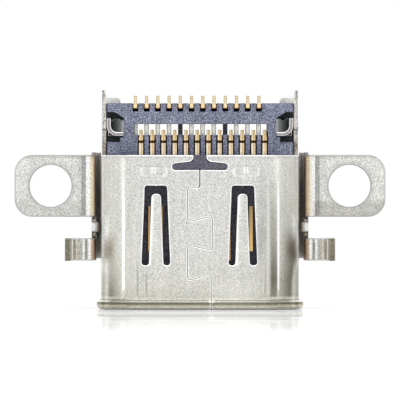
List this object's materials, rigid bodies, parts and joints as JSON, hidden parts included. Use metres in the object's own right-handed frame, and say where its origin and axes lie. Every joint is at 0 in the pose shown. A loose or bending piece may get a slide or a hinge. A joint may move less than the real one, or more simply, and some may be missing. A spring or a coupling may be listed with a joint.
{
  "type": "usb-c socket",
  "caption": "Round-mouthed board socket with a folded metal shell, a bracket with screw ears and board legs, and two rows of solder feet behind.",
  "frame": {"origin": "centre of the mouth opening, in the plane of the lip", "axes": "+X along the wide side of the mouth, +Z from the mouth to the solder feet, -Y towards the board side, where the seam, the fingers and the feet are seen"},
  "size_m": [0.0166, 0.0037, 0.0098],
  "materials": {
    "shell_steel": "satin, fine grain",
    "bracket_steel": "satin, fine grain",
    "plate_steel": "smooth",
    "contact_gold": "gold flash, satin",
    "black_moulding": "moulded, matt"
  },
  "bodies": {
    "root": {"shell": "shell_steel", "mounting_bracket": "bracket_steel", "mid_plate": "plate_steel", "tongue_moulding": "black_moulding", "near_contact_base": "black_moulding", "far_contact_base": "black_moulding", "near_contact_01": "contact_gold", "near_contact_02": "contact_gold", "near_contact_03": "contact_gold", "near_contact_04": "contact_gold", "near_contact_05": "contact_gold", "near_contact_06": "contact_gold", "near_contact_07": "contact_gold", "near_contact_08": "contact_gold", "near_contact_09": "contact_gold", "near_contact_10": "contact_gold", "near_contact_11": "contact_gold", "near_contact_12": "contact_gold", "far_contact_01": "contact_gold", "far_contact_02": "contact_gold", "far_contact_03": "contact_gold", "far_contact_04": "contact_gold", "far_contact_05": "contact_gold", "far_contact_06": "contact_gold", "far_contact_07": "contact_gold", "far_contact_08": "contact_gold", "far_contact_09": "contact_gold", "far_contact_10": "contact_gold", "far_contact_11": "contact_gold", "far_contact_12": "contact_gold"}
  },
  "joints": []
}
